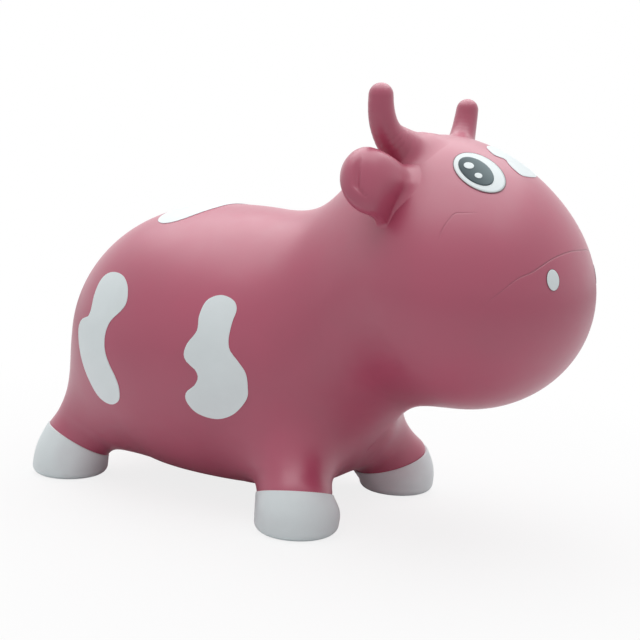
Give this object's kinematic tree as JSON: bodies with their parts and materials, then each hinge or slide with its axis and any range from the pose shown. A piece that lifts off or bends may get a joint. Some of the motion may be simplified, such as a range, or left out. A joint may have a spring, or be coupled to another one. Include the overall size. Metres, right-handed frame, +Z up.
{
  "type": "bouncy ride on animal",
  "caption": "Air-filled cow-shaped hopping toy with a round body, soft horn grips, stub legs with flat hooves and an air plug.",
  "frame": {"origin": "on the floor, under the middle of the toy's bounding box", "axes": "+X to the animal's nose, +Y to the animal's left, +Z up"},
  "size_m": [0.5889, 0.31, 0.4276],
  "materials": {
    "pink_skin": "soft satin vinyl, pink",
    "white_paint": "white paint on vinyl",
    "dark_paint": "dark grey-green paint on vinyl",
    "clear_vinyl": "milky soft vinyl"
  },
  "bodies": {
    "feet": {"left_front_hoof": "white_paint", "left_hind_hoof": "white_paint", "right_front_hoof": "white_paint", "right_hind_hoof": "white_paint"},
    "body": {"torso": "pink_skin", "head": "pink_skin", "left_front_leg": "pink_skin", "left_hind_leg": "pink_skin", "right_front_leg": "pink_skin", "right_hind_leg": "pink_skin", "left_horn_root": "pink_skin", "right_horn_root": "pink_skin", "left_ear_root": "pink_skin", "right_ear_root": "pink_skin", "left_flank_mark": "white_paint", "right_flank_mark": "white_paint", "left_rump_mark": "white_paint", "right_rump_mark": "white_paint", "back_mark": "white_paint", "blaze": "white_paint", "left_eye": "white_paint", "right_eye": "white_paint", "left_pupil": "dark_paint", "right_pupil": "dark_paint", "left_upper_glint": "white_paint", "right_upper_glint": "white_paint", "left_lower_glint": "white_paint", "right_lower_glint": "white_paint", "left_nostril": "white_paint", "right_nostril": "white_paint", "valve_seat": "clear_vinyl"},
    "left_grip": {"left_horn": "pink_skin"},
    "right_grip": {"right_horn": "pink_skin"},
    "left_flap": {"left_ear": "pink_skin"},
    "right_flap": {"right_ear": "pink_skin"},
    "stopper": {"valve_plug": "clear_vinyl"}
  },
  "joints": [
    {"name": "bounce", "type": "slide", "parent": "feet", "child": "body", "axis": [0, 0, 1], "range_m": [-0.01, 0], "stiffness_N_per_m": 12000, "springref_m": 0.002, "deforming": ["left_front_leg", "left_hind_leg", "right_front_leg", "right_hind_leg"]},
    {"name": "left_horn_flex", "type": "hinge", "parent": "body", "child": "left_grip", "pos_m": [0.12498, 0.0679, 0.37504], "axis": [0, 1, 0], "range_deg": [-12, 12], "stiffness_Nm_per_rad": 0.8, "deforming": ["left_horn_root"]},
    {"name": "right_horn_flex", "type": "hinge", "parent": "body", "child": "right_grip", "pos_m": [0.12498, -0.0679, 0.37504], "axis": [0, 1, 0], "range_deg": [-12, 12], "stiffness_Nm_per_rad": 0.8, "deforming": ["right_horn_root"]},
    {"name": "left_ear_flex", "type": "hinge", "parent": "body", "child": "left_flap", "pos_m": [0.12828, 0.11061, 0.33732], "axis": [0, 0, -1], "range_deg": [-12, 20], "stiffness_Nm_per_rad": 0.3, "deforming": ["left_ear_root"]},
    {"name": "right_ear_flex", "type": "hinge", "parent": "body", "child": "right_flap", "pos_m": [0.12828, -0.11061, 0.33732], "axis": [0, 0, 1], "range_deg": [-12, 20], "stiffness_Nm_per_rad": 0.3, "deforming": ["right_ear_root"]},
    {"name": "plug_pull", "type": "slide", "parent": "body", "child": "stopper", "axis": [-0.8256, 0, -0.5643], "range_m": [0, 0.022]}
  ]
}
